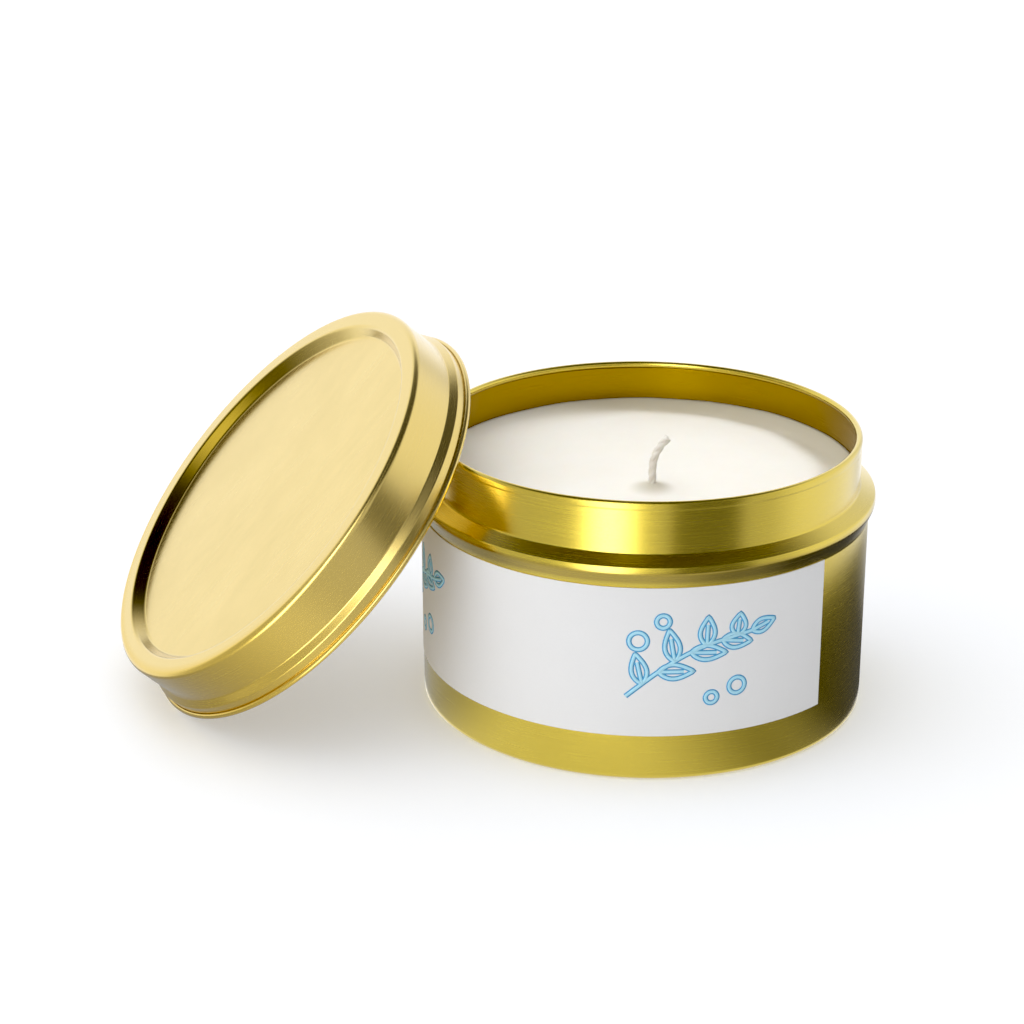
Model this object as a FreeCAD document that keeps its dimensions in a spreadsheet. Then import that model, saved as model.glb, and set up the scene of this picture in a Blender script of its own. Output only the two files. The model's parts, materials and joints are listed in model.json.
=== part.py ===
"""Candle in a round seamless tin, with its slip-on lid leaning against the rim.

The tin stands on z = 0 with its centre line on the Z axis. Lengths are millimetres, angles degrees.
The lid leans towards +X, so its own centre line lies in a plane parallel to XZ.
"""
import FreeCAD, Part
import math
import os
import Sketcher
from FreeCAD import Placement, Rotation, Vector

SIZES = [
    # tin: one drawn cup of tinplate
    ("sheet", 0.3), ("slack", 0.1),
    ("body_radius", 38.5), ("base_corner", 1.0),
    ("bead_foot", 34.3), ("bead_height", 36.9), ("bead_radius", 39.66),
    ("ledge_edge", 38.0), ("ledge_radius", 39.5), ("ledge_top", 39.4),
    ("neck_radius", 36.88), ("rim_height", 48.16), ("rim_curl", 0.6),
    ("bend", 0.45), ("bead_bend", 1.4),
    # paper label round the body
    ("label_low", 8.1), ("label_high", 34.2), ("paper", 0.12), ("paper_gap", 0.02),
    ("label_end", -62.7), ("label_wrap", 300),
    # candle: wax, wick, the clip that holds the wick and the sticker under it
    ("wax_level", 40.4), ("wax_edge", 41.2), ("wax_slope", 3.0),
    ("wick_x", -2.76), ("wick_y", -9.72), ("wick_radius", 0.7),
    ("wick_straight", 44.0), ("wick_arc", 7.3), ("wick_lean", 49), ("wick_turn", -19.6),
    ("sticker_radius", 9.5), ("sticker_height", 0.8),
    ("clip_radius", 10), ("clip_neck", 1.5), ("clip_neck_height", 6), ("clip_foot", 0.3),
    ("wick_gap", 0.03),
    # lid: a shallow drawn cap with a sunk panel and a rolled hem
    ("lid_height", 11.4), ("lid_radius", 37.85), ("lid_corner", 1.0),
    ("panel_radius", 33.8), ("panel_depth", 1.9), ("panel_bend", 0.5),
    ("lid_wall_foot", 3.6), ("lid_ledge", 2.5), ("lid_ledge_radius", 38.9),
    ("hem_radius", 39.66), ("hem_curl", 0.5),
    # where the lid stands
    ("lid_lean", 47.45), ("lid_x", -53.9), ("lid_y", 22.36),
]

doc = FreeCAD.newDocument("CandleTin")
sheet = doc.addObject("Spreadsheet::Sheet", "Sizes")
for row, (alias, value) in enumerate(SIZES, start=1):
    sheet.set("A%d" % row, alias)
    sheet.set("B%d" % row, str(value))
    sheet.setAlias("B%d" % row, alias)
doc.recompute()
size = dict(SIZES)


def cell(formula):
    """A formula in the sheet's names, as FreeCAD writes it: each name gets the sheet in front."""
    words, word = [], ""
    for letter in formula + " ":
        if letter.isalnum() or letter == "_":
            word += letter
            continue
        words.append("Sizes." + word if word in size else word)
        words.append(letter)
        word = ""
    return "".join(words).strip()


def new_body(label):
    body = doc.addObject("PartDesign::Body", label)
    body.Label = label
    return body


def plane(body, role):
    return next(face for face in body.Origin.OriginFeatures if face.Role == role)


def axis(body, role):
    return (plane(body, role), [""])


def new_sketch(body, name, role, height=None):
    """A sketch on one of the body's own planes, raised by a formula if one is given."""
    sketch = body.newObject("Sketcher::SketchObject", name)
    sketch.AttachmentSupport = (plane(body, role), [""])
    sketch.MapMode = "FlatFace"
    if height:
        sketch.setExpression(".AttachmentOffset.Base.z", cell(height))
    return sketch


def bind_point(sketch, line, end, across, up):
    """Hold one end of a line at (across, up), each a formula; "0" puts it on the sketch's axis."""
    for kind, formula, own_axis in (("DistanceX", across, -2), ("DistanceY", up, -1)):
        if formula == "0":
            sketch.addConstraint(Sketcher.Constraint("PointOnObject", line, end, own_axis))
            continue
        row = sketch.addConstraint(Sketcher.Constraint(kind, -1, 1, line, end, 1.0))
        sketch.setExpression("Constraints[%d]" % row, cell(formula))


def polygon(sketch, corners):
    """A closed outline through corners given as (across, up) formulas."""
    spots = [Vector(evaluate(across), evaluate(up), 0) for across, up in corners]
    for index, spot in enumerate(spots):
        sketch.addGeometry(Part.LineSegment(spot, spots[(index + 1) % len(spots)]), False)
    for index in range(len(spots)):
        following = (index + 1) % len(spots)
        sketch.addConstraint(Sketcher.Constraint("Coincident", index, 2, following, 1))
    for index, (across, up) in enumerate(corners):
        bind_point(sketch, index, 1, across, up)


def disc(sketch, radius):
    """A circle of the given radius about the sketch's origin."""
    ring = sketch.addGeometry(Part.Circle(Vector(0, 0, 0), Vector(0, 0, 1), evaluate(radius)), False)
    bind_point(sketch, ring, 3, "0", "0")
    row = sketch.addConstraint(Sketcher.Constraint("Radius", ring, evaluate(radius)))
    sketch.setExpression("Constraints[%d]" % row, cell(radius))


def evaluate(formula):
    return float(sheet.evalExpression(cell(formula)))


def revolve(body, sketch):
    turn = body.newObject("PartDesign::Revolution", sketch.Name + "Turned")
    turn.Profile = sketch
    turn.ReferenceAxis = axis(body, "Z_Axis")
    turn.Angle = 360
    doc.recompute()
    return turn


def round_edges(body, name, radius, places):
    """Round the circular edges that pass through (radius, height) places."""
    spots = [(evaluate(across), evaluate(up)) for across, up in places]
    base = body.Tip
    edges = []
    for index, edge in enumerate(base.Shape.Edges, start=1):
        box = edge.BoundBox
        if box.ZLength < 0.01 and any(
                abs(box.XMax - across) < 0.02 and abs(box.ZMax - up) < 0.02 for across, up in spots):
            edges.append("Edge%d" % index)
    fillet = body.newObject("PartDesign::Fillet", name)
    fillet.Base = (base, edges)
    fillet.setExpression("Radius", cell(radius))
    doc.recompute()
    return fillet


def hollow(body, name, open_height):
    """Leave only the sheet's thickness inside the outline, open at the flat face at open_height."""
    base = body.Tip
    height = evaluate(open_height)
    faces = [
        "Face%d" % index for index, face in enumerate(base.Shape.Faces, start=1)
        if face.BoundBox.ZLength < 0.01 and abs(face.BoundBox.ZMax - height) < 0.01]
    shell = body.newObject("PartDesign::Thickness", name)
    shell.Base = (base, faces)
    shell.Reversed = True
    shell.Mode = 0
    shell.Join = 0
    shell.setExpression("Value", cell("sheet"))
    doc.recompute()
    return shell


def curl(body, name, radius, thickness, height):
    """A rolled edge: the sheet's border turned in a ring about Z."""
    ring = body.newObject("PartDesign::AdditiveTorus", name)
    ring.AttachmentSupport = (plane(body, "XY_Plane"), [""])
    ring.MapMode = "FlatFace"
    ring.setExpression(".AttachmentOffset.Base.z", cell(height))
    ring.setExpression("Radius1", cell(radius))
    ring.setExpression("Radius2", cell(thickness))
    doc.recompute()
    return ring


def make_tin_can():
    """Drawn cup: flat base, straight body, a bead that the lid stops on, a neck and a rolled rim."""
    body = new_body("tin_can")
    outline = new_sketch(body, "CanOutline", "XZ_Plane")
    polygon(outline, [
        ("0", "0"), ("body_radius", "0"), ("body_radius", "bead_foot"),
        ("bead_radius", "bead_height"), ("ledge_radius", "ledge_edge"),
        ("neck_radius", "ledge_top"), ("neck_radius", "rim_height - rim_curl"),
        ("0", "rim_height - rim_curl")])
    revolve(body, outline)
    round_edges(body, "CanBase", "base_corner", [("body_radius", "0")])
    round_edges(body, "CanBead", "bead_bend", [
        ("body_radius", "bead_foot"), ("bead_radius", "bead_height")])
    round_edges(body, "CanLedge", "bend", [
        ("ledge_radius", "ledge_edge"), ("neck_radius", "ledge_top")])
    hollow(body, "CanHollow", "rim_height - rim_curl")
    curl(body, "CanRim", "neck_radius - rim_curl", "rim_curl", "rim_height - rim_curl")
    return body


def make_label():
    """Paper strip glued round the body, from its end on the right round to a bare gap."""
    band = doc.addObject("Part::Cylinder", "LabelBand")
    core = doc.addObject("Part::Cylinder", "LabelCore")
    for cylinder, radius in ((band, "body_radius + paper_gap + paper"), (core, "body_radius + paper_gap")):
        cylinder.setExpression("Radius", cell(radius))
        cylinder.setExpression("Height", cell("label_high - label_low"))
        cylinder.setExpression("Angle", cell("label_wrap"))
    label = doc.addObject("Part::Cut", "label")
    label.Label = "label"
    label.Base = band
    label.Tool = core
    start = "label_end - label_wrap"
    label.Placement = Placement(Vector(0, 0, 0), Rotation(Vector(0, 0, 1), evaluate(start)))
    label.setExpression(".Placement.Base.z", cell("label_low"))
    label.setExpression(".Placement.Rotation.Angle", cell(start))
    return label


def make_wick_sticker():
    """Round foam pad, sticky on both sides, that holds the clip to the base."""
    sticker = doc.addObject("Part::Cylinder", "wick_sticker")
    sticker.Label = "wick_sticker"
    sticker.setExpression("Radius", cell("sticker_radius"))
    sticker.setExpression("Height", cell("sticker_height"))
    sticker.setExpression(".Placement.Base.x", cell("wick_x"))
    sticker.setExpression(".Placement.Base.y", cell("wick_y"))
    sticker.setExpression(".Placement.Base.z", cell("sheet"))
    return sticker


def make_wick_clip():
    """Tinplate disc with a crimped neck; the wick stands in the neck."""
    body = new_body("wick_clip")
    bore = "wick_radius + wick_gap"
    outline = new_sketch(body, "ClipOutline", "XZ_Plane")
    polygon(outline, [
        (bore, "0"), ("clip_radius", "0"), ("clip_radius", "clip_foot"),
        ("clip_neck", "clip_foot"), ("clip_neck", "clip_neck_height"), (bore, "clip_neck_height")])
    revolve(body, outline)
    body.setExpression(".Placement.Base.x", cell("wick_x"))
    body.setExpression(".Placement.Base.y", cell("wick_y"))
    body.setExpression(".Placement.Base.z", cell("sheet + sticker_height"))
    return body


def make_wick():
    """Waxed cotton cord: upright through the candle, its free end set in a curve to one side."""
    body = new_body("wick")
    path = new_sketch(body, "WickPath", "XZ_Plane")
    straight = evaluate("wick_straight - sheet - sticker_height")
    arc, lean = size["wick_arc"], math.radians(size["wick_lean"])
    path.addGeometry(Part.LineSegment(Vector(0, 0, 0), Vector(0, straight, 0)), False)
    bow = Part.Circle(Vector(arc, straight, 0), Vector(0, 0, 1), arc)
    path.addGeometry(Part.ArcOfCircle(bow, math.pi - lean, math.pi), False)
    path.addConstraint(Sketcher.Constraint("Coincident", 0, 1, -1, 1))
    path.addConstraint(Sketcher.Constraint("Vertical", 0))
    path.addConstraint(Sketcher.Constraint("Tangent", 0, 2, 1, 2))
    bindings = [
        (Sketcher.Constraint("DistanceY", 0, 1, 0, 2, straight), "wick_straight - sheet - sticker_height"),
        (Sketcher.Constraint("Radius", 1, arc), "wick_arc"),
        (Sketcher.Constraint("DistanceX", 0, 2, 1, 1, arc * (1 - math.cos(lean))),
         "wick_arc * (1 - cos(wick_lean * 1 deg))")]
    for constraint, formula in bindings:
        row = path.addConstraint(constraint)
        path.setExpression("Constraints[%d]" % row, cell(formula))
    section = new_sketch(body, "WickSection", "XY_Plane")
    disc(section, "wick_radius")
    doc.recompute()
    cord = body.newObject("PartDesign::AdditivePipe", "WickCord")
    cord.Profile = section
    cord.Spine = (path, ["Edge1", "Edge2"])
    body.Placement = Placement(Vector(0, 0, 0), Rotation(Vector(0, 0, 1), size["wick_turn"]))
    body.setExpression(".Placement.Base.x", cell("wick_x"))
    body.setExpression(".Placement.Base.y", cell("wick_y"))
    body.setExpression(".Placement.Base.z", cell("sheet + sticker_height"))
    body.setExpression(".Placement.Rotation.Angle", cell("wick_turn"))
    doc.recompute()
    return body


def make_wax():
    """Poured wax: fills the tin to just above the bead, a little higher where it clings to the neck."""
    body = new_body("wax")
    wall = "body_radius - sheet - slack"
    neck = "neck_radius - sheet - slack"
    outline = new_sketch(body, "WaxOutline", "XZ_Plane")
    polygon(outline, [
        ("0", "sheet"), (wall + " - base_corner", "sheet"), (wall, "sheet + base_corner"),
        (wall, "bead_foot"), ("bead_radius - sheet - 2 * slack", "bead_height"),
        ("ledge_radius - sheet - 4 * slack", "ledge_edge - sheet - slack"),
        (neck, "ledge_top - sheet - 2 * slack"), (neck, "wax_edge"),
        (neck + " - wax_slope", "wax_level"), ("0", "wax_level")])
    revolve(body, outline)
    cavities = [
        ("WaxWickHole", "wick_radius + wick_gap", "wax_level + 1"),
        ("WaxClipNeck", "clip_neck + wick_gap", "sheet + sticker_height + clip_neck_height + wick_gap"),
        ("WaxClipDisc", "clip_radius + wick_gap", "sheet + sticker_height + clip_foot + wick_gap")]
    for name, radius, top in cavities:
        circle = new_sketch(body, name, "XY_Plane")
        disc_at_wick(circle, radius)
        cavity = body.newObject("PartDesign::Pocket", name + "Cut")
        cavity.Profile = circle
        cavity.Reversed = True
        cavity.setExpression("Length", cell(top))
        doc.recompute()
    return body


def disc_at_wick(sketch, radius):
    """A circle about the wick's foot, which lies at negative x and y."""
    x, y = size["wick_x"], size["wick_y"]
    ring = sketch.addGeometry(Part.Circle(Vector(x, y, 0), Vector(0, 0, 1), evaluate(radius)), False)
    bindings = [
        (Sketcher.Constraint("DistanceX", ring, 3, -1, 1, -x), "0 - wick_x"),
        (Sketcher.Constraint("DistanceY", ring, 3, -1, 1, -y), "0 - wick_y"),
        (Sketcher.Constraint("Radius", ring, evaluate(radius)), radius)]
    for constraint, formula in bindings:
        row = sketch.addConstraint(constraint)
        sketch.setExpression("Constraints[%d]" % row, cell(formula))


def make_lid():
    """Drawn cap: sunk round panel, raised ring, straight wall, flared foot and a rolled hem."""
    body = new_body("lid")
    outline = new_sketch(body, "LidOutline", "XZ_Plane")
    flare = "hem_radius - hem_curl + sheet"
    polygon(outline, [
        ("0", "hem_curl"), (flare, "hem_curl"), ("lid_ledge_radius", "lid_ledge"),
        ("lid_radius", "lid_wall_foot"), ("lid_radius", "lid_height"),
        ("panel_radius", "lid_height"), ("panel_radius", "lid_height - panel_depth"),
        ("0", "lid_height - panel_depth")])
    revolve(body, outline)
    round_edges(body, "LidCorner", "lid_corner", [("lid_radius", "lid_height")])
    round_edges(body, "LidPanelBends", "panel_bend", [
        ("panel_radius", "lid_height"), ("panel_radius", "lid_height - panel_depth")])
    round_edges(body, "LidFoot", "bend", [
        ("lid_ledge_radius", "lid_ledge"), ("lid_radius", "lid_wall_foot")])
    hollow(body, "LidHollow", "hem_curl")
    curl(body, "LidHem", "hem_radius - hem_curl", "hem_curl", "hem_curl")
    lean = "lid_lean * 1 deg"
    foot = "(hem_radius - hem_curl) * sin(%s) + hem_curl - hem_curl * cos(%s)" % (lean, lean)
    body.Placement = Placement(Vector(0, 0, 0), Rotation(Vector(0, 1, 0), -size["lid_lean"]))
    body.setExpression(".Placement.Base.x", cell("lid_x"))
    body.setExpression(".Placement.Base.y", cell("lid_y"))
    body.setExpression(".Placement.Base.z", cell(foot))
    body.setExpression(".Placement.Rotation.Angle", cell("0 - lid_lean"))
    return body


pieces = [
    make_tin_can(), make_label(), make_wick_sticker(), make_wick_clip(), make_wick(), make_wax(),
    make_lid()]
doc.recompute()

for feature in doc.Objects:
    if "Invalid" in feature.State or "Error" in feature.State:
        raise RuntimeError("%s did not build: %s" % (feature.Name, feature.State))
for piece in pieces:
    if piece.Shape.isNull() or not piece.Shape.isValid():
        raise RuntimeError("%s has no valid shape" % piece.Label)

os.makedirs("parts", exist_ok=True)
for piece in pieces:
    piece.Shape.exportStep("parts/%s.step" % piece.Label)
    box = piece.Shape.BoundBox
    print("%-14s volume %9.1f  x %7.2f %7.2f  y %7.2f %7.2f  z %6.2f %6.2f" % (
        piece.Label, piece.Shape.Volume, box.XMin, box.XMax, box.YMin, box.YMax, box.ZMin, box.ZMax))
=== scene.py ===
"""A gold candle tin with its lid leaning on the rim, built over the CAD frame."""
import json
import math

import bpy
from mathutils import Matrix, Vector


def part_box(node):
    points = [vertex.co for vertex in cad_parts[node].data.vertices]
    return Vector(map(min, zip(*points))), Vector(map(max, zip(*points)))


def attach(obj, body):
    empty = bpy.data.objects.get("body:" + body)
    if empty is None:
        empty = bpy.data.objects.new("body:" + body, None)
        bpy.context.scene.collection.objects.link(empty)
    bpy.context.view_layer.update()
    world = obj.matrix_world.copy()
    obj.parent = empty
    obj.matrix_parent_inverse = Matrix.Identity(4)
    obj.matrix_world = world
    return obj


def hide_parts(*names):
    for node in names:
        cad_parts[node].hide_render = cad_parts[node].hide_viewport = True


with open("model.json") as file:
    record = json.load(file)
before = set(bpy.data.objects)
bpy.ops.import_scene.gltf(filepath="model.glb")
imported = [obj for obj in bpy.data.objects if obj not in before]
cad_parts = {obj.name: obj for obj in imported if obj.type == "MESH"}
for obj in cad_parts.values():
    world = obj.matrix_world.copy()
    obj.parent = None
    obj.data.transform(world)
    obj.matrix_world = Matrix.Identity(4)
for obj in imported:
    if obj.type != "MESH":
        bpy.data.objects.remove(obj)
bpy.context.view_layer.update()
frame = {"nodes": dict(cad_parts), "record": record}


# ---------------------------------------------------------------------------------------------
# The tin: one cup drawn from thin tinplate, brushed round its wall and lacquered gold.
# A bead under the neck stops the lid, and the raw edge is rolled inwards at the rim.
# It carries everything but the lid.
# ---------------------------------------------------------------------------------------------
MM = 0.001


class Wire:
    """A node's output. An expression written with it adds the Math nodes that work it out."""

    def __init__(self, graph, node, output=0):
        self.graph, self.node, self.socket = graph, node, node.outputs[output]

    def __getitem__(self, output):
        return Wire(self.graph, self.node, output)

    def maths(self, operation, *values):
        return self.graph.add("ShaderNodeMath", {"operation": operation}, dict(enumerate(values)))

    def __add__(self, other):
        return self.maths("ADD", self, other)

    def __sub__(self, other):
        return self.maths("SUBTRACT", self, other)

    def __rsub__(self, other):
        return self.maths("SUBTRACT", other, self)

    def __mul__(self, other):
        return self.maths("MULTIPLY", self, other)

    def __truediv__(self, other):
        return self.maths("DIVIDE", self, other)

    def __pow__(self, other):
        return self.maths("POWER", self, other)

    __radd__ = __add__
    __rmul__ = __mul__

    def step(self, start, end):
        """A mask that is 0 at the start and 1 at the end, and smooth between them."""
        return self.graph.add("ShaderNodeMapRange", {"interpolation_type": "SMOOTHSTEP"}, {
            "Value": self, "From Min": start, "From Max": end})


class Graph:
    """A node tree, with one method that adds a node: its settings first, then its sockets."""

    def __init__(self, tree):
        self.tree = tree

    def add(self, kind, settings=None, sockets=None):
        node = self.tree.nodes.new(kind)
        for name, value in (settings or {}).items():
            setattr(node, name, value)
        for name, value in (sockets or {}).items():
            if isinstance(value, Wire):
                self.tree.links.new(value.socket, node.inputs[name])
            else:
                node.inputs[name].default_value = value
        return Wire(self, node) if node.outputs else node

    def mix(self, amount, low, high):
        """From the low colour to the high one; a colour is three numbers or a wire."""
        low, high = (side if isinstance(side, Wire) else (*side, 1) for side in (low, high))
        return self.add("ShaderNodeMix", {"data_type": "RGBA"}, {0: amount, 6: low, 7: high})[2]

    def noise(self, place, scale, detail=3, stretch=(1, 1, 1)):
        stretched = self.add("ShaderNodeVectorMath", {"operation": "MULTIPLY"}, {0: place, 1: stretch})
        return self.add("ShaderNodeTexNoise", {}, {
            "Vector": stretched, "Scale": scale, "Detail": detail, "Roughness": 0.6})


def new_material(name):
    """An empty material, the graph to build it with, and the place on the piece in metres."""
    material = bpy.data.materials.new(name)
    material.use_nodes = True
    material.node_tree.nodes.clear()
    graph = Graph(material.node_tree)
    return material, graph, graph.add("ShaderNodeTexCoord")["Object"]


def finish_material(graph, sockets, bump=None, strength=0.2, depth=0.1 * MM):
    """The Principled shader with these sockets; bump is the height that roughens its normal."""
    if bump is not None:
        sockets["Normal"] = graph.add("ShaderNodeBump", {}, {
            "Height": bump, "Strength": strength, "Distance": depth})
    shader = graph.add("ShaderNodeBsdfPrincipled", {}, sockets)
    graph.add("ShaderNodeOutputMaterial", {}, {"Surface": shader})


def brushed_gold(name, turned, tints, panel_radius, painted_shade_masks):
    """Gold lacquer over brushed tinplate: the grain runs round the wall and straight on the panel.

    The tints are dark and light. The masks are a function that returns pairs of a mask and the
    darker tint of painted shade that it brings, and the mask of painted shade where the clear coat is
    left off."""
    material, graph, here = new_material(name)
    own = graph.add("ShaderNodeMapping", {"vector_type": "TEXTURE"}, {
        "Vector": here, "Location": turned.to_translation(), "Rotation": turned.to_euler()})
    apart = graph.add("ShaderNodeSeparateXYZ", {}, {"Vector": own})
    away = (apart["X"] ** 2 + apart["Y"] ** 2) ** 0.5
    on_panel = away.step(panel_radius + 0.2 * MM, panel_radius - 0.2 * MM)
    round_grain = graph.noise(own, 60, stretch=(1, 1, 170))
    straight_grain = graph.noise(own, 50, stretch=(1, 45, 1), detail=4)
    lines = round_grain + on_panel * (straight_grain - round_grain)
    cloud = graph.noise(own, 75, stretch=(1, 1.8, 1), detail=4)
    shade = 0.5 + (lines - 0.5) * (0.7 + 0.5 * on_panel) + (cloud - 0.5) * (0.5 + 1.8 * on_panel)
    colour = graph.mix(shade, *tints)
    layers, painted_shade_uncoated = painted_shade_masks(apart, away)
    # Painted shade: each mask lays a darker gold over the grain where the metal lies in shade.
    for mask, tint in layers:
        colour = graph.mix(mask, colour, tint)
    # Where the painted shade lies uncoated, the clear coat is left off, which darkens it further.
    finish_material(graph, {
        "Base Color": colour, "Metallic": 1.0,
        "Roughness": 0.25 + (lines - 0.5) * 0.16 + (cloud - 0.5) * 0.05,
        "Coat Weight": 1 - 0.9 * painted_shade_uncoated, "Coat Roughness": 0.2, "Coat IOR": 1.8},
        bump=lines, strength=0.12, depth=0.04 * MM)
    return material


def turned_sheet_tree():
    """Bends an outline's corners and sweeps it round a ring, which closes it on the centre line."""
    tree = bpy.data.node_groups.new("Turned sheet", "GeometryNodeTree")
    for name, kind in (
            ("Outline", "NodeSocketGeometry"), ("Ring radius", "NodeSocketFloat"),
            ("Turn steps", "NodeSocketInt"), ("Bend steps", "NodeSocketInt"),
            ("Finish", "NodeSocketMaterial")):
        tree.interface.new_socket(name, in_out="INPUT", socket_type=kind)
    tree.interface.new_socket("Sheet", in_out="OUTPUT", socket_type="NodeSocketGeometry")
    graph = Graph(tree)
    given = graph.add("NodeGroupInput")
    bent = graph.add("GeometryNodeFilletCurve", {"mode": "POLY"}, {
        "Curve": given["Outline"], "Count": given["Bend steps"],
        "Radius": graph.add("GeometryNodeInputRadius")})
    ring = graph.add("GeometryNodeCurvePrimitiveCircle", {"mode": "RADIUS"}, {
        "Resolution": given["Turn steps"], "Radius": given["Ring radius"]})
    swept = graph.add("GeometryNodeCurveToMesh", {}, {"Curve": ring, "Profile Curve": bent})
    closed = graph.add("GeometryNodeMergeByDistance", {}, {"Geometry": swept, "Distance": 0.001 * MM})
    smooth = graph.add("GeometryNodeSetShadeSmooth", {}, {"Geometry": closed})
    real = graph.add("GeometryNodeRealizeInstances", {}, {"Geometry": smooth})
    done = graph.add("GeometryNodeSetMaterial", {}, {"Geometry": real, "Material": given["Finish"]})
    graph.add("NodeGroupOutput", {}, {"Sheet": done})
    return tree


def new_object(name, data):
    piece = bpy.data.objects.new(name, data)
    bpy.context.collection.objects.link(piece)
    return piece


def add_tree(source, tree, values):
    """Run a Geometry Nodes tree on the source; the values go in by the names that it shows."""
    modifier = source.modifiers.new(tree.name, "NODES")
    modifier.node_group = tree
    for item in tree.interface.items_tree:
        if item.item_type == "SOCKET" and item.in_out == "INPUT" and item.name in values:
            modifier[item.identifier] = values[item.name]


def made_mesh(source, name, place=None):
    """What the source's modifiers make of it, as a plain mesh; the source goes."""
    mesh = bpy.data.meshes.new_from_object(source.evaluated_get(bpy.context.evaluated_depsgraph_get()))
    mesh.name = name
    if place:
        mesh.transform(place)
    bpy.data.objects.remove(source)
    return new_object(name, mesh)


def line_curve(name, lines, closed=()):
    """A curve of straight runs through each list of (x, y, z, bend radius) in millimetres."""
    curve = bpy.data.curves.new(name, "CURVE")
    curve.dimensions = "3D"
    for index, points in enumerate(lines):
        spline = curve.splines.new("POLY")
        spline.points.add(len(points) - 1)
        spline.use_cyclic_u = index in closed
        for target, (x, y, z, bend) in zip(spline.points, points):
            target.co = (x * MM, y * MM, z * MM, 1)
            target.radius = bend * MM
    return new_object(name, curve)


TURNED_SHEET = turned_sheet_tree()
RING = 20.0
SHEET = 0.3


def turned_sheet(name, outline, finish, place=None):
    """Sheet metal turned to an outline of its outer side: each corner is (radius, height, bend).

    The swept profile lies flat, so its x is counted from the ring and its y points down."""
    flat = [(radius - RING, -height, 0, bend) for radius, height, bend in outline]
    source = line_curve(name + "_outline", [flat])
    add_tree(source, TURNED_SHEET, {
        "Ring radius": RING * MM, "Turn steps": 240, "Bend steps": 6, "Finish": finish})
    skin = made_mesh(source, name)
    wall = skin.modifiers.new("Wall", "SOLIDIFY")
    wall.thickness, wall.offset, wall.use_even_offset = SHEET * MM, -1, True
    skin.modifiers.new("Normals", "WEIGHTED_NORMAL").keep_sharp = False
    return made_mesh(skin, name, place)


def tin_painted_shade(apart, away):
    """Painted shade: a darker gold without the clear coat inside the neck, down to the wax, and a darker
    gold on the bead under the neck.
    """
    height = apart["Z"] / MM
    # Painted shade on the inner wall of the neck, above the wax.
    inside = (away / MM).step(36.70, 36.62) * height.step(40.2, 40.3) * height.step(47.7, 47.0)
    # Painted shade on the bead under the neck.
    bead = height.step(34.6, 35.6) * height.step(37.6, 36.9)
    return [(bead, (0.46, 0.33, 0.008)), (inside, (0.37, 0.23, 0.003))], inside


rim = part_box("tin_can")[1].z / MM
bead_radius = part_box("tin_can")[1].x / MM + 0.03
NECK = 36.88
BODY = 38.5
ROLL_INSIDE = NECK - 1.16
ROLL_OUTSIDE = NECK + 0.04
tin_finish = brushed_gold(
    "tin lacquer", Matrix.Identity(4), ((0.68, 0.50, 0.015), (0.78, 0.60, 0.035)), 0, tin_painted_shade)
tin = turned_sheet("tin_shell", [
    (NECK - 0.5, rim - 1.2, 0), (ROLL_INSIDE, rim - 1.2, 0.5), (ROLL_INSIDE, rim, 0.6),
    (ROLL_OUTSIDE, rim, 0.6), (ROLL_OUTSIDE, rim - 1.16, 0.2), (NECK, rim - 1.46, 0.2),
    (NECK, 39.4, 0.5), (39.5, 38.05, 0.45), (bead_radius, 36.9, 1.5), (BODY, 34.3, 1.6),
    (BODY, 0, 1.0), (0, 0, 0),
], tin_finish)
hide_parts("tin_can")
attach(tin, "candle")


# ---------------------------------------------------------------------------------------------
# The sticker and the clip stay as the CAD has them, hidden in the wax: a dot of foam that is
# sticky on both sides, and a stamped tinplate disc on it whose neck grips the wick.
# ---------------------------------------------------------------------------------------------
def speckled(name, low, high, scale, sockets, strength=0.2):
    """A finish that wanders between two colours, with the same noise in its relief."""
    material, graph, here = new_material(name)
    speckle = graph.noise(here, scale, detail=4)
    sockets["Base Color"] = graph.mix(speckle, low, high)
    finish_material(graph, sockets, bump=speckle, strength=strength, depth=0.05 * MM)
    return material


def repaint(node, finish):
    for slot in frame["nodes"][node].material_slots:
        slot.material = finish


repaint("wick_sticker", speckled(
    "sticky foam", (0.78, 0.78, 0.77), (0.9, 0.9, 0.89), 3000, {"Roughness": 0.9}, 0.5))
repaint("wick_clip", speckled(
    "clip tinplate", (0.55, 0.55, 0.56), (0.75, 0.75, 0.76), 900, {"Roughness": 0.35, "Metallic": 1.0}))


# ---------------------------------------------------------------------------------------------
# The wax: poured soy wax, cream and faintly translucent. It shrank as it set, so it climbs the
# neck in a narrow rim, dips in front of it on one side, and stands in a mound round the wick.
# ---------------------------------------------------------------------------------------------
WAX_LEVEL = 40.4
WAX_RADIUS = 36.48
WAX_WALL = [(WAX_RADIUS, 39.0), (39.0, 37.6), (39.16, 36.9), (38.1, 34.3), (38.1, 1.3), (37.1, 0.3)]
WAX_TURNS, WAX_RINGS = 180, 90
DIP_SIDE = math.radians(20)
DIP_RADIUS, DIP_DEPTH, DIP_WIDTH = 32.6, 0.55, 1.9
CLIMB_WIDTH = 3.2
wick_foot = Vector((-2.76, -9.72))


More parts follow.
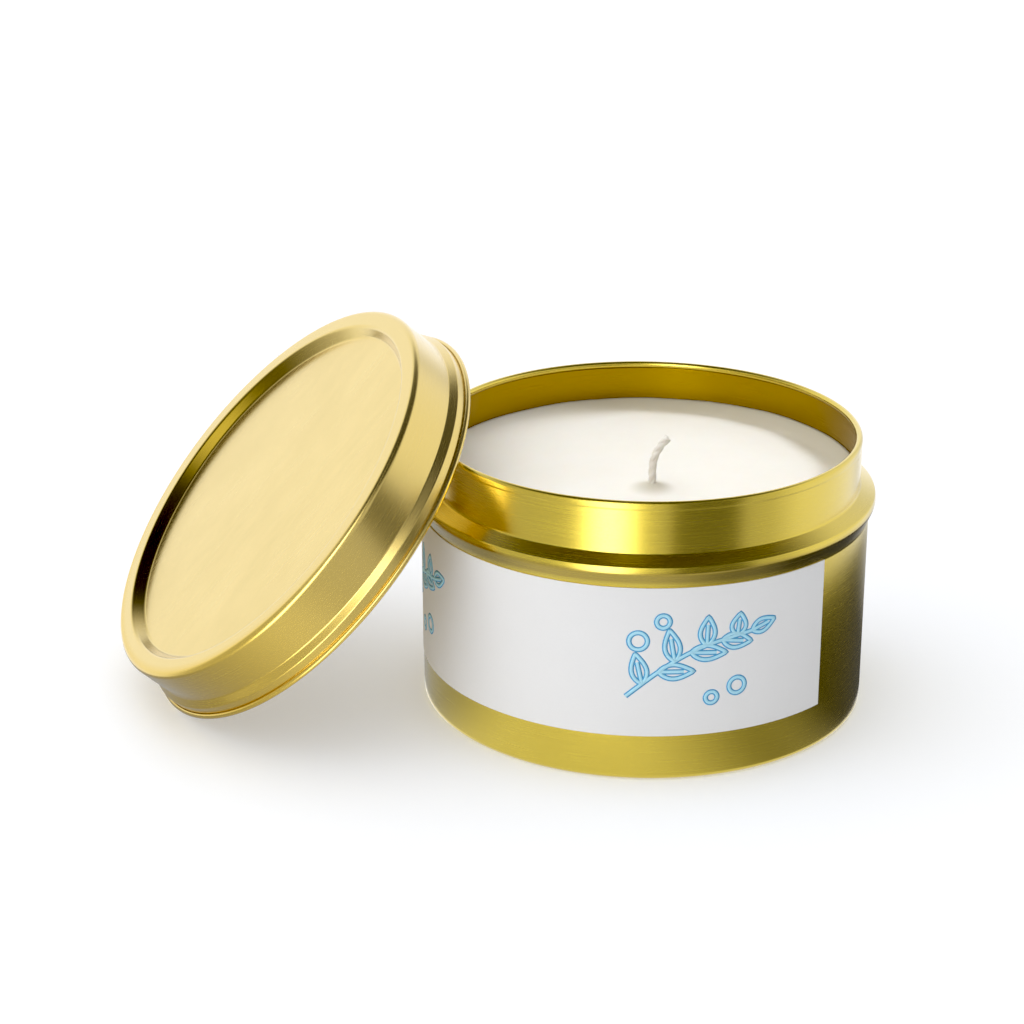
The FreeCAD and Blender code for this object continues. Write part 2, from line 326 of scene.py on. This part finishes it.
def wax_height(radius, angle):
    """Height of the wax in millimetres at a point of its surface."""
    turn = math.remainder(angle - DIP_SIDE, math.tau)
    towards = max(0.0, math.cos(turn * 0.9)) ** 2 if abs(turn) < 1.7 else 0.0
    dip = DIP_DEPTH * towards * math.exp(-((radius - DIP_RADIUS) / DIP_WIDTH) ** 2)
    climb = (0.45 + 0.35 * towards) * max(0.0, (radius - WAX_RADIUS) / CLIMB_WIDTH + 1) ** 2
    x, y = radius * math.cos(angle), radius * math.sin(angle)
    away = math.hypot(x - wick_foot.x, y - wick_foot.y)
    mound = 1.2 * math.exp(-(away / 1.8) ** 1.3) + 0.3 * math.exp(-(away / 4.5) ** 2)
    swell = 0.06 * math.sin(0.13 * x + 0.5) * math.cos(0.17 * y) + 0.03 * math.sin(0.4 * x - 0.3 * y)
    return WAX_LEVEL + climb - dip + mound + swell


def wax_mesh():
    """Rings from the middle of the top outwards, then down the wall and across the foot."""
    top = [(ring * WAX_RADIUS / WAX_RINGS, None) for ring in range(1, WAX_RINGS + 1)]
    points = [(0, 0, wax_height(0, 0) * MM)]
    for radius, height in top + WAX_WALL:
        for turn in range(WAX_TURNS):
            angle = math.tau * turn / WAX_TURNS
            level = wax_height(radius, angle) if height is None else height
            points.append((radius * math.cos(angle) * MM, radius * math.sin(angle) * MM, level * MM))
    faces = [(0, 1 + turn, 1 + (turn + 1) % WAX_TURNS) for turn in range(WAX_TURNS)]
    last = len(points) - WAX_TURNS
    for inner in range(1, last, WAX_TURNS):
        for turn in range(WAX_TURNS):
            here, after = inner + turn, inner + (turn + 1) % WAX_TURNS
            faces.append((here, here + WAX_TURNS, after + WAX_TURNS, after))
    faces.append([last + turn for turn in reversed(range(WAX_TURNS))])
    return points, faces


def mesh_piece(name, points, faces, finish):
    mesh = bpy.data.meshes.new(name)
    mesh.from_pydata(points, [], faces)
    mesh.shade_smooth()
    mesh.materials.append(finish)
    return new_object(name, mesh)


def wax_finish():
    """Cloudy cream wax, with painted shade: greyer in the dip by the neck and round the foot of the
    wick.
    """
    material, graph, here = new_material("soy wax")
    cloud = graph.noise(here, 70, detail=5)
    frost = graph.noise(here, 900)
    poured = graph.mix(cloud * 0.8 + frost * 0.2, (0.87, 0.835, 0.745), (0.965, 0.945, 0.89))
    apart = graph.add("ShaderNodeSeparateXYZ", {}, {"Vector": here})
    away = (apart["X"] ** 2 + apart["Y"] ** 2) ** 0.5 / MM + (cloud - 0.5) * 7
    ahead = (apart["X"] * math.cos(DIP_SIDE) + apart["Y"] * math.sin(DIP_SIDE)) / MM
    # Painted shade in the dip by the neck, on one side.
    dip_painted_shade = away.step(27, 34.5) * ahead.step(-4, 20)
    across, along = apart["X"] / MM - wick_foot.x, apart["Y"] / MM - wick_foot.y
    # Painted shade round the foot of the wick, under its mound.
    wick_foot_painted_shade = ((across ** 2 + along ** 2) ** 0.5).step(4.6, 1.0)
    finish_material(graph, {
        "Base Color": graph.mix(dip_painted_shade * 0.75 + wick_foot_painted_shade * 0.6, poured, (0.48, 0.43, 0.30)),
        "Roughness": 0.42 + frost * 0.15, "Subsurface Weight": 0.25,
        "Subsurface Radius": (0.004, 0.003, 0.002), "Subsurface Scale": 1.0},
        bump=cloud * 0.7 + frost * 0.3, strength=0.25, depth=0.2 * MM)
    return material


wax = mesh_piece("wax_fill", *wax_mesh(), wax_finish())
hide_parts("wax")
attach(wax, "candle")


# ---------------------------------------------------------------------------------------------
# The wick: three cotton strands laid together and primed with wax, 1.4 mm thick. The clip grips
# its foot; it stands straight through the wax and its free end is set in a curve to one side.
# ---------------------------------------------------------------------------------------------
WICK_RADIUS = 0.7
STRAND_RADIUS = 0.47
WICK_TWISTS = 9.0
WICK_STRAIGHT = 44.0
WICK_ARC = 7.3
WICK_LEAN = math.radians(49)
WICK_TURN = math.radians(-19.6)


def wick_line():
    """The wick's centre line from the clip to the free end, in millimetres."""
    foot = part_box("wick")[0].z / MM
    line = [Vector((0, 0, foot + (WICK_STRAIGHT - foot) * step / 40)) for step in range(41)]
    for step in range(1, 13):
        lean = WICK_LEAN * step / 12
        line.append(Vector((
            WICK_ARC * (1 - math.cos(lean)), 0, WICK_STRAIGHT + WICK_ARC * math.sin(lean))))
    place = Matrix.Translation((*wick_foot, 0)) @ Matrix.Rotation(WICK_TURN, 4, "Z")
    return [(*(place @ point), 1) for point in line]


def laid_cord_tree():
    """Strands wound round a line: the line is copied, each copy moves out and round it."""
    tree = bpy.data.node_groups.new("Laid cord", "GeometryNodeTree")
    for name, kind in (
            ("Line", "NodeSocketGeometry"), ("Cord radius", "NodeSocketFloat"),
            ("Strand radius", "NodeSocketFloat"), ("Twists", "NodeSocketFloat"),
            ("Strands", "NodeSocketInt"), ("Finish", "NodeSocketMaterial")):
        tree.interface.new_socket(name, in_out="INPUT", socket_type=kind)
    tree.interface.new_socket("Cord", in_out="OUTPUT", socket_type="NodeSocketGeometry")
    graph = Graph(tree)
    given = graph.add("NodeGroupInput")
    fine = graph.add("GeometryNodeResampleCurve", {}, {"Curve": given["Line"], "Count": 260})
    copies = graph.add("GeometryNodeDuplicateElements", {"domain": "SPLINE"}, {
        "Geometry": fine, "Amount": given["Strands"]})
    along = graph.add("GeometryNodeSplineParameter")["Factor"]
    phase = (along * given["Twists"] + copies["Duplicate Index"] / given["Strands"]) * math.tau
    normal = graph.add("GeometryNodeInputNormal")
    side = graph.add("ShaderNodeVectorMath", {"operation": "CROSS_PRODUCT"}, {
        0: graph.add("GeometryNodeInputTangent"), 1: normal})
    reach = given["Cord radius"] - given["Strand radius"]
    across, over = (
        graph.add("ShaderNodeVectorMath", {"operation": "SCALE"}, {
            0: direction, "Scale": phase.maths(wave, phase) * reach})
        for direction, wave in ((normal, "COSINE"), (side, "SINE")))
    offset = graph.add("ShaderNodeVectorMath", {"operation": "ADD"}, {0: across, 1: over})
    wound = graph.add("GeometryNodeSetPosition", {}, {"Geometry": copies, "Offset": offset})
    section = graph.add("GeometryNodeCurvePrimitiveCircle", {"mode": "RADIUS"}, {
        "Resolution": 12, "Radius": given["Strand radius"]})
    strands = graph.add("GeometryNodeCurveToMesh", {}, {
        "Curve": wound, "Profile Curve": section, "Fill Caps": True})
    smooth = graph.add("GeometryNodeSetShadeSmooth", {}, {"Geometry": strands})
    real = graph.add("GeometryNodeRealizeInstances", {}, {"Geometry": smooth})
    done = graph.add("GeometryNodeSetMaterial", {}, {"Geometry": real, "Material": given["Finish"]})
    graph.add("NodeGroupOutput", {}, {"Cord": done})
    return tree


wick_finish = speckled("waxed cotton", (0.80, 0.76, 0.68), (0.93, 0.90, 0.84), 1400, {
    "Roughness": 0.6, "Subsurface Weight": 0.2, "Subsurface Radius": (0.001, 0.0008, 0.0006)}, 0.5)
wick_source = line_curve("wick_line", [wick_line()])
add_tree(wick_source, laid_cord_tree(), {
    "Cord radius": WICK_RADIUS * MM, "Strand radius": STRAND_RADIUS * MM, "Twists": WICK_TWISTS,
    "Strands": 3, "Finish": wick_finish})
wick = made_mesh(wick_source, "wick_cord")
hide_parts("wick")
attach(wick, "candle")


# ---------------------------------------------------------------------------------------------
# The label: a strip of uncoated white paper glued round the body, its ends apart at one side.
# A leafy sprig is printed on it three times in two blues, a pale line over a darker one.
# ---------------------------------------------------------------------------------------------
LABEL_OUTSIDE = 38.64
LABEL_END = math.radians(-62.7)
LABEL_WRAP = math.radians(300)
LABEL_TURNS = 300
PAPER = 0.12


def label_mesh():
    """A curved strip as thick as the paper, closed at both ends."""
    low, high = (corner.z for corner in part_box("label"))
    outside, inside = LABEL_OUTSIDE * MM, (LABEL_OUTSIDE - PAPER) * MM
    section = [(inside, low), (outside, low), (outside, high), (inside, high)]
    points, faces = [], []
    for turn in range(LABEL_TURNS + 1):
        angle = LABEL_END - LABEL_WRAP * turn / LABEL_TURNS
        points += [(radius * math.cos(angle), radius * math.sin(angle), z) for radius, z in section]
    for start in range(0, 4 * LABEL_TURNS, 4):
        for side in range(4):
            after = (side + 1) % 4
            faces.append((start + side, start + after, start + 4 + after, start + 4 + side))
    end = 4 * LABEL_TURNS
    return points, faces + [(3, 2, 1, 0), (end, end + 1, end + 2, end + 3)]


def paper_finish():
    """Uncoated paper: fibres, and a slight clouding where the glue lies under it."""
    material, graph, here = new_material("label paper")
    fibre = graph.noise(here, 2600, detail=4)
    cloud = graph.noise(here, 90, detail=2)
    colour = graph.mix(fibre * 0.5 + cloud * 0.5, (0.79, 0.786, 0.78), (0.84, 0.836, 0.83))
    finish_material(graph, {"Base Color": colour, "Roughness": 0.75}, bump=fibre, depth=0.03 * MM)
    return material


label = mesh_piece("label_paper", *label_mesh(), paper_finish())
label.data.set_sharp_from_angle(angle=math.radians(30))
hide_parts("label")
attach(label, "candle")


def leaf(base, direction, length, width):
    """An almond outline and its vein, from its base in a direction given in degrees."""
    along = Vector((math.cos(math.radians(direction)), math.sin(math.radians(direction))))
    across = Vector((-along.y, along.x))
    steps = 12
    there = [(1, step / steps) for step in range(steps)]
    back = [(-1, 1 - step / steps) for step in range(steps)]
    almond = [
        base + along * length * share + across * side * width / 2 * math.sin(math.pi * share ** 0.8)
        for side, share in there + back]
    return almond, [base + along * length * share for share in (0.0, 0.25, 0.5, 0.72)]


def sprig():
    """The printed drawing, flat, in millimetres: its lines, and which of them are closed."""
    steps = 24
    stem = [
        Vector((-10.5 + 21 * share, -6.2 + 11.0 * share + 2.2 * math.sin(math.pi * share * 1.1)))
        for share in (step / steps for step in range(steps + 1))]
    lines, closed = [stem], []
    for step, turn, length, width in (
            (3, 62, 5.4, 2.5), (6, -38, 5.8, 2.5), (9, 68, 5.6, 2.5), (12, -30, 6.0, 2.5),
            (15, 70, 5.0, 2.5), (18, -22, 5.2, 2.5), (21, 74, 3.8, 2.5), (24, 8, 4.4, 2.2)):
        slope = stem[min(step + 1, steps)] - stem[step - 1]
        closed.append(len(lines))
        lines += leaf(stem[step], math.degrees(math.atan2(slope.y, slope.x)) + turn, length, width)
    for x, y, radius in ((-8.6, 3.6, 1.5), (-4.6, 7.0, 1.1), (8.0, -5.2, 1.4), (3.6, -6.8, 1.0)):
        closed.append(len(lines))
        turns = (math.tau * step / 20 for step in range(20))
        lines.append([
            Vector((x + radius * math.cos(turn), y + radius * math.sin(turn))) for turn in turns])
    return [[(point.x, 0, point.y, 1) for point in line] for line in lines], closed


def print_tree():
    """Lines drawn flat become ribbons of ink, repeat along the strip and wrap round the tin."""
    tree = bpy.data.node_groups.new("Printed lines", "GeometryNodeTree")
    for name, kind in (
            ("Drawing", "NodeSocketGeometry"), ("Line width", "NodeSocketFloat"),
            ("Ink height", "NodeSocketFloat"), ("Copies", "NodeSocketInt"), ("Pitch", "NodeSocketFloat"),
            ("Wrap radius", "NodeSocketFloat"), ("First angle", "NodeSocketFloat"),
            ("Centre height", "NodeSocketFloat"), ("Ink", "NodeSocketMaterial")):
        tree.interface.new_socket(name, in_out="INPUT", socket_type=kind)
    tree.interface.new_socket("Print", in_out="OUTPUT", socket_type="NodeSocketGeometry")
    graph = Graph(tree)
    given = graph.add("NodeGroupInput")
    fine = graph.add("GeometryNodeResampleCurve", {"mode": "LENGTH"}, {
        "Curve": given["Drawing"], "Length": 0.25 * MM})
    level = graph.add("GeometryNodeSetCurveNormal", {"mode": "FREE"}, {
        "Curve": fine, "Normal": (0.0, 1.0, 0.0)})
    nib = graph.add("GeometryNodeCurvePrimitiveQuadrilateral", {"mode": "RECTANGLE"}, {
        "Width": given["Ink height"], "Height": given["Line width"]})
    ribbon = graph.add("GeometryNodeCurveToMesh", {}, {
        "Curve": level, "Profile Curve": nib, "Fill Caps": True})
    shift = graph.add("ShaderNodeCombineXYZ", {}, {"X": given["Pitch"]})
    places = graph.add("GeometryNodeMeshLine", {}, {"Count": given["Copies"], "Offset": shift})
    copies = graph.add("GeometryNodeInstanceOnPoints", {}, {"Points": places, "Instance": ribbon})
    flat = graph.add("GeometryNodeRealizeInstances", {}, {"Geometry": copies})
    apart = graph.add("ShaderNodeSeparateXYZ", {}, {"Vector": graph.add("GeometryNodeInputPosition")})
    angle = given["First angle"] + apart["X"] / given["Wrap radius"]
    reach = given["Wrap radius"] - apart["Y"]
    wrapped = graph.add("ShaderNodeCombineXYZ", {}, {
        "X": reach * angle.maths("COSINE", angle), "Y": reach * angle.maths("SINE", angle),
        "Z": apart["Z"] + given["Centre height"]})
    round_tin = graph.add("GeometryNodeSetPosition", {}, {"Geometry": flat, "Position": wrapped})
    real = graph.add("GeometryNodeRealizeInstances", {}, {"Geometry": round_tin})
    done = graph.add("GeometryNodeSetMaterial", {}, {"Geometry": real, "Material": given["Ink"]})
    graph.add("NodeGroupOutput", {}, {"Print": done})
    return tree


PRINTED_LINES = print_tree()
PRINT_HEIGHT = 21.4
PRINT_ANGLE = math.radians(-100.9)
PRINT_PITCH = math.radians(93.5) * LABEL_OUTSIDE
for name, dark, light, line_width, ink in (
        ("print_outline", (0.05, 0.31, 0.60), (0.10, 0.42, 0.72), 0.92, 0.012),
        ("print_fill", (0.36, 0.72, 0.90), (0.50, 0.82, 0.95), 0.48, 0.024)):
    drawing = line_curve(name, *sprig())
    add_tree(drawing, PRINTED_LINES, {
        "Line width": line_width * MM, "Ink height": 2 * ink * MM, "Copies": 3,
        "Pitch": -PRINT_PITCH * MM, "Wrap radius": LABEL_OUTSIDE * MM, "First angle": PRINT_ANGLE,
        "Centre height": PRINT_HEIGHT * MM,
        "Ink": speckled(name.replace("_", " ") + " ink", dark, light, 1200, {"Roughness": 0.6}, 0.1)})
    printed = made_mesh(drawing, name)
    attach(printed, "candle")


# ---------------------------------------------------------------------------------------------
# The lid: a shallow cap drawn from the same gold tinplate. A raised ring stands round its sunk
# panel, the wall flares at its foot to clear the bead, and the raw edge is rolled outwards.
# It leans on the rim and lifts away along its own centre line.
# ---------------------------------------------------------------------------------------------
LID_HEIGHT = 11.4
LID_RADIUS = 37.85
PANEL_RADIUS = 32.9
PANEL_DEPTH = 1.9
HEM = 39.66
HEM_FOLD = HEM - 0.31
CURL = 0.5


def lid_place():
    """The lid's own frame, from its box: its hem's foot is on the floor and its axis is the joint's."""
    low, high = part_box("lid")
    axis = Vector(frame["record"]["behaviour"]["joints"][0]["axis"])
    ring, curl = (HEM - CURL) * MM, CURL * MM
    middle = Vector((
        high.x - curl - ring * axis.z - curl * axis.x, (low.y + high.y) / 2,
        curl - ring * axis.x - curl * axis.z))
    return Matrix.Translation(middle) @ Matrix.Rotation(math.atan2(axis.x, axis.z), 4, "Y")


def lid_painted_shade(apart, away):
    """Painted shade: a deeper gold on the lower side of the wall, towards the floor, and a dark gold
    without the clear coat on one side of the groove.
    """
    reach = away / MM
    # Painted shade on the lower side of the wall.
    low = (apart["X"] / MM).step(18, -34) * reach.step(35.5, 37)
    # Painted shade on the side of the groove that faces away from the light.
    side = (apart["Y"] * 0.95 - apart["X"] * 0.30) / away
    groove_painted_shade = side.step(0.2, 0.75) * reach.step(32.4, 33.0) * reach.step(34.5, 34.1)
    return [(low, (0.76, 0.52, 0.03)), (groove_painted_shade, (0.16, 0.11, 0.005))], groove_painted_shade


lid_turned = lid_place()
# Painted light: the lid has the same gold lacquer as the tin, but its tints are paler, a lit copy of the
# tin's gold.
lid_finish = brushed_gold(
    "lid lacquer", lid_turned, ((0.75, 0.555, 0.125), (0.82, 0.615, 0.165)), 33.4 * MM, lid_painted_shade)
lid = turned_sheet("lid_shell", [
    (0, LID_HEIGHT - PANEL_DEPTH, 0), (PANEL_RADIUS, LID_HEIGHT - PANEL_DEPTH, 0.8),
    (PANEL_RADIUS + 1.3, LID_HEIGHT, 0.9),
    (LID_RADIUS, LID_HEIGHT, 1.05), (LID_RADIUS, 3.6, 0.45), (38.9, 2.5, 0.4), (38.96, 0.3, 0.2),
    (HEM_FOLD, 0.3, 0.19), (HEM_FOLD, 0.7, 0.19), (38.99, 0.7, 0),
], lid_finish, lid_turned)
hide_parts("lid")
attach(lid, "lid")


# ---------------------------------------------------------------------------------------------
# The studio: a plain pale floor that glows a little, a soft dome of light, and cards that only
# the metal sees, so that its walls have light and dark bands. Turns are degrees anticlockwise
# from the camera's side of the tin.
# ---------------------------------------------------------------------------------------------
CAMERA_PLACE = Vector((-159.39, -379.12, 191.11)) * MM
CAMERA_TURN = math.radians(-19.602)
CAMERA_TILT = math.radians(21.139)
CAMERA_LENS = 89.14
CAMERA_SIDE = math.atan2(CAMERA_PLACE.y, CAMERA_PLACE.x)
SURROUND = 0.62


def studio_floor():
    material, graph, here = new_material("studio floor")
    colour = graph.mix(graph.noise(here, 400), (0.64, 0.655, 0.685), (0.65, 0.665, 0.695))
    finish_material(graph, {
        "Base Color": colour, "Roughness": 0.8, "Emission Color": (1, 1, 1, 1),
        "Emission Strength": 0.32})
    corners = [(-4, -4, 0), (4, -4, 0), (4, 4, 0), (-4, 4, 0)]
    floor = mesh_piece("floor", corners, [(0, 1, 2, 3)], material)
    floor.visible_glossy = False


def turn_of(apart):
    return apart["Y"].maths("ARCTAN2", apart["Y"], apart["X"]) * (180 / math.pi)


def band(around, start, end, soft):
    return around.step(start - soft, start + soft) * around.step(end + soft, end - soft)


def studio_surround():
    """A soft dome lights the matt surfaces; the metal sees bands, pale below and dark overhead."""
    world = bpy.data.worlds.new("studio")
    bpy.context.scene.world = world
    world.use_nodes = True
    world.cycles.sampling_method = "NONE"
    world.node_tree.nodes.clear()
    graph = Graph(world.node_tree)
    towards = graph.add("ShaderNodeVectorRotate", {"rotation_type": "Z_AXIS"}, {
        "Vector": graph.add("ShaderNodeTexCoord")["Generated"], "Angle": -CAMERA_SIDE})
    apart = graph.add("ShaderNodeSeparateXYZ", {}, {"Vector": towards})
    around = turn_of(apart)
    up = apart["Z"].maths("ARCSINE", apart["Z"]) * (180 / math.pi)
    window = 1.9 * band(around, -31, -5, 5)
    core = 2.4 * band(around, -25, -11, 7)
    side_strip = 0.42 * band(around, 78, 150, 14)
    behind = 0.5 * (around.step(-90, -110) + around.step(150, 165))
    gloss = (SURROUND + window + core + side_strip + behind) * (1 - 0.9 * up.step(36, 56))
    gloss = gloss + up.step(-28, -42) * (0.8 - gloss)
    dome = 0.1
    for side, rise, power in ((-50, 38, 1.25), (180, 62, 1.25)):
        aim = Matrix.Rotation(math.radians(side), 3, "Z") @ Vector((
            math.cos(math.radians(rise)), 0, math.sin(math.radians(rise))))
        facing = graph.add("ShaderNodeVectorMath", {"operation": "DOT_PRODUCT"}, {0: towards, 1: aim})
        dome = dome + power * facing["Value"].step(0.3, 1.0)
    rays = graph.add("ShaderNodeLightPath")
    light = dome + rays["Is Glossy Ray"] * (gloss - dome)
    light = light + rays["Is Camera Ray"] * (1.1 - light)
    background = graph.add("ShaderNodeBackground", {}, {"Color": (1, 1, 1, 1), "Strength": light})
    graph.add("ShaderNodeOutputWorld", {}, {"Surface": background})


def studio_card(name, turns, section, tone):
    """A curved card by the tin: section gives its two edges at a turn, tone its brightness."""
    material, graph, here = new_material("studio " + name)
    apart = graph.add("ShaderNodeSeparateXYZ", {}, {"Vector": here})
    finish_material(graph, {
        "Base Color": (0, 0, 0, 1), "Roughness": 1, "Specular IOR Level": 0,
        "Emission Color": tone(turn_of(apart), apart["Z"] / MM), "Emission Strength": 1})
    points, steps = [], 120
    for step in range(steps + 1):
        turn = turns[0] + (turns[1] - turns[0]) * step / steps
        for reach, height in section(turn):
            points.append(Matrix.Rotation(math.radians(turn), 3, "Z") @ Vector((reach, 0, height)) * MM)
    faces = [(row, row + 1, row + 3, row + 2) for row in range(0, 2 * steps, 2)]
    card = mesh_piece(name, points, faces, material)
    card.rotation_euler.z = CAMERA_SIDE
    for seen in ("camera", "diffuse", "transmission", "shadow", "volume_scatter"):
        setattr(card, "visible_" + seen, False)


def table_section(turn):
    """It reaches further at the sides, where the tin and the lid look down on it."""
    return (39, 0.5), (70 + 30 * min(1, max(0, (abs(turn) - 30) / 30)), 0.5)


def table_tone(around, height):
    left = 0.4 * around.step(-40, -75) * around.step(-170, -130)
    tone = 0.80 - 0.52 * around.step(-4, 40) - left - 0.20 * around.step(45, 72)
    return tone + 0.72 * around.step(110, 165)


def screen_tone(around, height):
    dark = around.step(7, 14) * around.step(43, 35) * height.step(10, 20)
    return SURROUND - 0.44 * dark


def studio_camera():
    lens = bpy.data.cameras.new("camera")
    lens.lens, lens.sensor_width, lens.clip_start = CAMERA_LENS, 36, 10 * MM
    camera = new_object("camera", lens)
    camera.location = CAMERA_PLACE
    camera.rotation_euler = (math.pi / 2 - CAMERA_TILT, 0, CAMERA_TURN)
    bpy.context.scene.camera = camera


studio_floor()
studio_surround()
studio_card("low card", (-180, 180), table_section, table_tone)
studio_card("dark screen", (6, 44), lambda turn: ((75, 10), (75, 80)), screen_tone)
studio_camera()
view = bpy.context.scene.view_settings
view.view_transform = "Standard"
view.use_curve_mapping = True
view.curve_mapping.black_level = (0.015, 0.015, 0.015)
view.curve_mapping.update()
